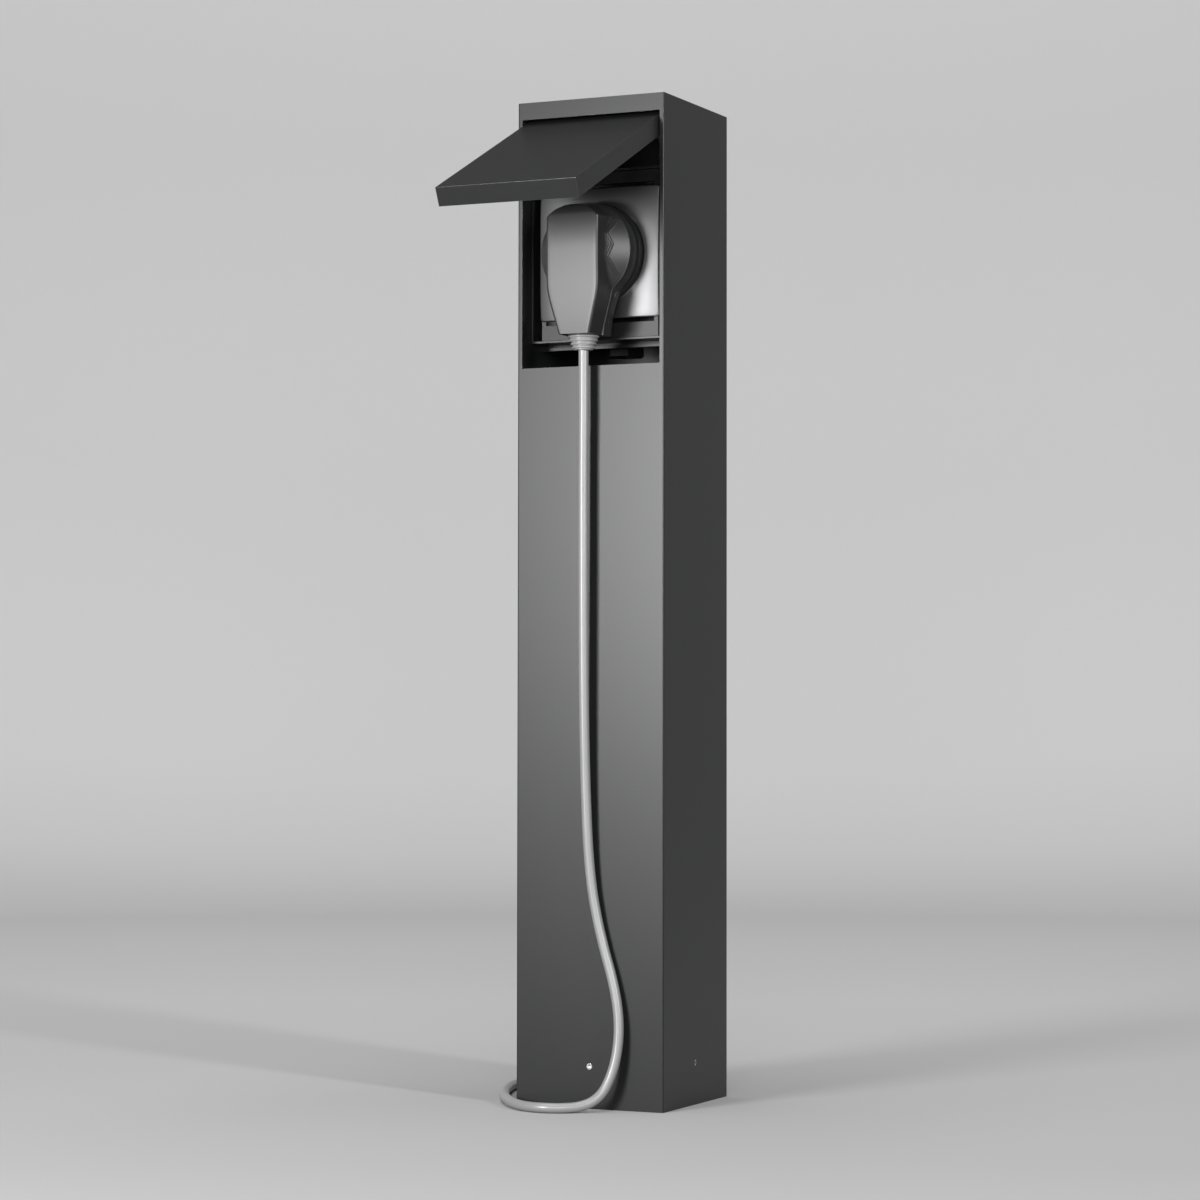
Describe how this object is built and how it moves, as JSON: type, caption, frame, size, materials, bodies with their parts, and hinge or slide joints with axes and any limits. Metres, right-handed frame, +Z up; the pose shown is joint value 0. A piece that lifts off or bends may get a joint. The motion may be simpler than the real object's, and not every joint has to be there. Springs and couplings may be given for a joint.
{
  "type": "outdoor socket",
  "caption": "Square steel outdoor socket column with a hinged weather flap over a recessed earthed socket, an angled plug in it and its coiled lead.",
  "frame": {"origin": "centre of the column's footprint, on the ground", "axes": "+Z up along the column, -Y out of the front with the window, +X to the right of a viewer who faces the front's opposite side along +Y"},
  "size_m": [0.151, 0.3498, 0.625],
  "materials": {
    "powder_coat": "satin anthracite powder coat with a fine orange-peel texture",
    "black_coat": "matt black coat on the inner sheet",
    "zinc_steel": "zinc-plated sheet steel",
    "screw_steel": "plain stainless steel fasteners",
    "satin_cover": "dark satin metal cover with a crowned face",
    "socket_black": "black moulded plastic",
    "gland_black": "dull black moulded gland",
    "grey_insulator": "grey moulded insulator",
    "brass": "plain brass contact",
    "seal_rubber": "soft black sealing rubber",
    "washer_polymer": "dark friction washer",
    "plug_grey": "grey moulded plug shell with a fine grain",
    "plug_dark": "dark insert of the plug",
    "nickel": "nickel-plated pins and clips",
    "lead_rubber": "grey rubber sheath",
    "tie_fabric": "black woven hook-and-loop tie"
  },
  "bodies": {
    "column": {"column_tube": "powder_coat", "top_plate": "powder_coat", "carrier": "black_coat", "ground_base": "zinc_steel", "lip_frame": "powder_coat", "support_frame": "black_coat", "support_posts": "black_coat", "earth_stud": "zinc_steel", "earth_nuts": "zinc_steel", "hinge_brackets": "black_coat", "set_screws": "screw_steel", "post_screws": "screw_steel", "box_screws": "screw_steel", "bracket_screws": "screw_steel", "centre_screw": "screw_steel", "terminal_screws": "screw_steel", "hinge_rod": "screw_steel", "cover_plate": "satin_cover", "socket_cup": "socket_black", "socket_nut": "socket_black", "wiring_box": "socket_black", "base_block": "grey_insulator", "gland_body": "gland_black", "gland_locknut": "gland_black", "gland_nut": "gland_black", "contact_sleeves": "brass", "earth_clip": "brass", "connector_contacts": "brass", "box_gasket": "seal_rubber", "gland_seal": "seal_rubber", "friction_washers": "washer_polymer", "lead": "lead_rubber", "lead_coil": "lead_rubber", "coil_tie": "tie_fabric", "connector_relief": "lead_rubber", "connector_body": "lead_rubber"},
    "flap": {"flap": "powder_coat"},
    "plug": {"plug_rear_shell": "plug_grey", "plug_front_shell": "plug_grey", "plug_insert": "plug_dark", "plug_pins": "nickel", "plug_earth_strips": "nickel", "plug_latches": "nickel", "strain_relief": "lead_rubber"}
  },
  "joints": [
    {"name": "flap_hinge", "type": "hinge", "parent": "column", "child": "flap", "pos_m": [0, -0.035, 0.6014], "axis": [-1, 0, 0], "range_deg": [-20, 10]},
    {"name": "plug_slide", "type": "slide", "parent": "column", "child": "plug", "axis": [0, -1, 0], "range_m": [0, 0.02]}
  ]
}
